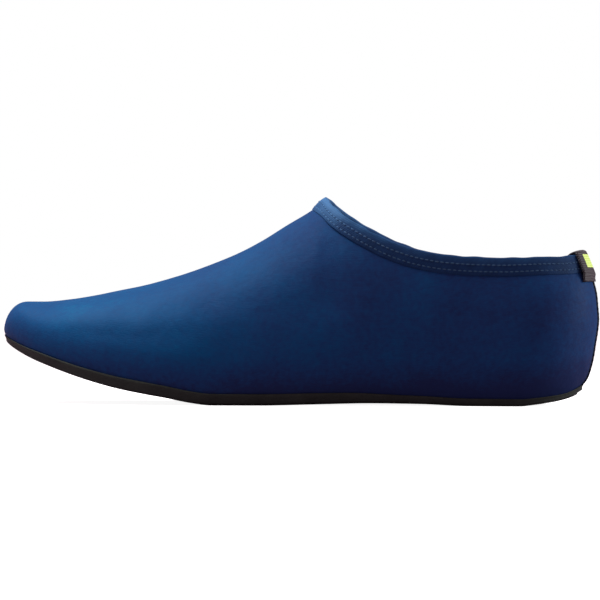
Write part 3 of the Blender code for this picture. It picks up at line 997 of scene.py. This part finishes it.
def add_stitches(name, line, out, material, closed=True):
    """Row of short raised stitches along a line, as one mesh."""
    path = np.concatenate((line, line[:1])) if closed else line
    facing = np.concatenate((out, out[:1])) if closed else out
    gone = np.pad(np.cumsum(np.linalg.norm(np.diff(path, axis=0), axis=1)), (1, 0))
    count = int(gone[-1] / STITCH_PITCH)
    middles = (np.arange(count) + 0.5) * gone[-1] / count
    ends = []
    for shift in (-STITCH_LENGTH / 2, 0, STITCH_LENGTH / 2):
        spots = [np.interp(middles + shift, gone, path[:, axis]) for axis in range(3)]
        ends.append(np.stack(spots, axis=1))
    along = ends[2] - ends[0]
    along /= np.linalg.norm(along, axis=1, keepdims=True)
    normal = np.stack([np.interp(middles, gone, facing[:, axis]) for axis in range(3)], axis=1)
    sideways = np.cross(normal, along)
    points, faces = [], []
    for place, forward, up, aside in zip(ends[1], along, normal, sideways):
        add_bead(points, faces, place, forward, up, aside)
    mesh = bpy.data.meshes.new(name)
    mesh.from_pydata(points, [], faces)
    return add_piece(name, mesh, material)


def add_bead(points, faces, place, forward, up, aside):
    """Long rounded bead of thread that lies on a surface."""
    first = len(points)
    for step in range(BEAD_SLICES + 1):
        angle = np.pi * (step + 0.5) / (BEAD_SLICES + 1)
        girth = np.sin(angle)
        for segment in range(BEAD_SEGMENTS):
            turn = 2 * np.pi * segment / BEAD_SEGMENTS
            spot = place - np.cos(angle) * STITCH_LENGTH / 2 * forward
            spot = spot + girth * np.cos(turn) * STITCH_WIDTH / 2 * aside
            points.append(spot + girth * np.sin(turn) * STITCH_HEIGHT * up)
    for step in range(BEAD_SLICES):
        low = first + step * BEAD_SEGMENTS
        high = low + BEAD_SEGMENTS
        for segment in range(BEAD_SEGMENTS):
            after = (segment + 1) % BEAD_SEGMENTS
            faces.append((low + segment, low + after, high + after, high + segment))
    end = first + BEAD_SLICES * BEAD_SEGMENTS
    faces.append(tuple(range(first + BEAD_SEGMENTS - 1, first - 1, -1)))
    faces.append(tuple(range(end, end + BEAD_SEGMENTS)))


def heel_rows(width, flare, columns, reach=EDGE_REACH):
    """Wall at the heel's back, at even places across a strip that widens downwards."""
    rows = wall_rows(np.linspace(1, 1 - reach, FINE_STEPS), FINE_STEPS)
    rows[:, :, 3:] *= -1
    turn = FINE_STEPS // 2
    rows = np.roll(rows, turn, axis=1)[:, :2 * turn + 1]
    across = np.linspace(0.5, -0.5, columns + 1)
    picked = np.empty((rows.shape[0], columns + 1, 6))
    for row, line in enumerate(rows):
        down = (rows[0, turn, 2] - line[turn, 2]) / TAB_DROP
        places = (width + flare * np.minimum(down, 1)) * across
        order = np.argsort(line[:, 1])
        for part in range(6):
            picked[row, :, part] = np.interp(places, line[order, 1], line[order, part])
    return picked


def build_heel_pull_tab():
    """Webbing folded over the tape at the heel's back, with its neon patch."""
    outer = TAPE_GAP + TAPE_THICKNESS + GAP + TAB_THICKNESS
    arch = TAB_ARCH * (1 - np.linspace(-1, 1, TAB_COLUMNS + 1) ** 2)
    rise = FABRIC_DROP + GAP + TAB_THICKNESS + arch
    turns = np.linspace(0, 1, TAB_STEPS + 1)
    profile = [[TAB_PROFILE.at(name, turn) for name in ("down", "up", "through", "step")] for turn in turns]
    rows = heel_rows(TAB_WIDTH, TAB_FLARE, TAB_COLUMNS)
    points = over_the_edge(rows, profile, TAB_DROP, TAB_INSIDE, rise, outer, -WALL - outer)
    tab = add_grid("pull_tab", points, black_webbing(), closed=False)
    thicken(tab, TAB_THICKNESS)
    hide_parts("heel_pull_tab")
    tab.data.materials.append(neon_print_with_painted_glow())
    for polygon in tab.data.polygons:
        row, column = divmod(polygon.index, TAB_COLUMNS)
        if NEON_FROM <= row < NEON_TO and NEON_MARGIN <= column < TAB_COLUMNS - NEON_MARGIN:
            polygon.material_index = 1


def build_heel_seam():
    """Flat tape over the seam down the heel's back, with its two rows of stitches."""
    rows = heel_rows(SEAM_WIDTH, 0, SEAM_COLUMNS, reach=1.0)[::2]
    bulge = np.cos(np.linspace(-np.pi / 2, np.pi / 2, SEAM_COLUMNS + 1))[None, :, None] ** SEAM_FLATNESS
    points = rows[:, :, :3] + SEAM_RISE * bulge * rows[:, :, 3:]
    seam = add_grid("heel_seam_tape", points, seam_tape_with_painted_shade(), closed=False)
    yarn = thread("seam_thread", (0.008, 0.016, 0.036), (0.016, 0.030, 0.064))
    for name, column in SEAM_STITCHES:
        stitches = add_stitches(name, points[:, column], rows[:, column, 3:], yarn, closed=False)


def area_light(name, place, target, size, power):
    """Soft box that points at a target."""
    light = bpy.data.lights.new(name, "AREA")
    light.shape = "RECTANGLE"
    light.size, light.size_y = size
    light.energy = power
    lamp = bpy.data.objects.new(name, light)
    bpy.context.scene.collection.objects.link(lamp)
    lamp.location = place
    lamp.rotation_euler = (Vector(target) - Vector(place)).to_track_quat("-Z", "Y").to_euler()


def seen_or_not(tree, unseen, seen):
    """Colour or value that differs between what is seen and what lights the shoe."""
    path = tree.nodes.new("ShaderNodeLightPath")
    choice = tree.nodes.new("ShaderNodeMix")
    choice.data_type = "RGBA"
    tree.links.new(path.outputs["Is Camera Ray"], choice.inputs[0])
    choice.inputs[6].default_value = unseen
    choice.inputs[7].default_value = seen
    return choice.outputs[2]


def build_floor():
    """Plain pale floor that throws back less light than it shows."""
    material = bpy.data.materials.new("pale_floor")
    material.use_nodes = True
    tree = material.node_tree
    shader = tree.nodes["Principled BSDF"]
    shader.inputs["Roughness"].default_value = 0.9
    shader.inputs["Specular IOR Level"].default_value = 0.0
    shader.inputs["Emission Strength"].default_value = 1
    tree.links.new(seen_or_not(tree, FLOOR_BOUNCE, FLOOR_TONE), shader.inputs["Base Color"])
    tree.links.new(seen_or_not(tree, DARK, FLOOR_GLOW), shader.inputs["Emission Color"])
    mesh = bpy.data.meshes.new("floor")
    corners = [(x * FLOOR_REACH, y * FLOOR_REACH, 0) for x, y in ((-1, -1), (1, -1), (1, 1), (-1, 1))]
    mesh.from_pydata(corners, [], [(0, 1, 2, 3)])
    mesh.materials.append(material)
    floor = bpy.data.objects.new("floor", mesh)
    bpy.context.scene.collection.objects.link(floor)


def build_light():
    """White room with soft boxes overhead, behind the heel and before the toe."""
    world = bpy.data.worlds.new("white_room")
    bpy.context.scene.world = world
    world.use_nodes = True
    tree = world.node_tree
    ground = tree.nodes["Background"]
    tree.links.new(seen_or_not(tree, ROOM_LIGHT, WHITE), ground.inputs["Color"])
    for row in LIGHTS:
        area_light(*row)


def build_camera():
    """Low camera that looks at the shoe's outer side, turned a little towards the heel."""
    camera = bpy.data.cameras.new("camera")
    camera.sensor_width = SENSOR
    camera.lens = SENSOR * VIEW_DISTANCE / VIEW_WIDTH
    eye = bpy.data.objects.new("camera", camera)
    bpy.context.scene.collection.objects.link(eye)
    yaw = np.radians(VIEW_YAW)
    eye.location = (VIEW_ASIDE + VIEW_DISTANCE * np.sin(yaw), -VIEW_DISTANCE * np.cos(yaw), VIEW_HEIGHT)
    eye.rotation_euler = (np.pi / 2, np.radians(VIEW_ROLL), yaw)
    bpy.context.scene.camera = eye


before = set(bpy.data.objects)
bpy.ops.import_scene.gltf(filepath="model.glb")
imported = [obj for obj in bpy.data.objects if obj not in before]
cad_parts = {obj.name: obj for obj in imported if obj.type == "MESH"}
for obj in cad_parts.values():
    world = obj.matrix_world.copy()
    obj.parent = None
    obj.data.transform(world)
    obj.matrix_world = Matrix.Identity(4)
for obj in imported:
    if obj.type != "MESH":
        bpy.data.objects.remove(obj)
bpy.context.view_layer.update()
bpy.context.scene.view_settings.view_transform = "Standard"

# The solids were moved so that the shoe's box is centred on the origin
plain = wall_rows(np.linspace(0, 1, WALL_ROWS))[:, :, :3].reshape(-1, 3)
low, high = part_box("upper")
SHIFT = Vector((np.array(low) + np.array(high) - plain.min(axis=0) - plain.max(axis=0)) / 2)

build_upper()
build_outsole()
build_insole()
build_collar_binding()
build_heel_pull_tab()
build_heel_seam()
build_floor()
build_light()
build_camera()
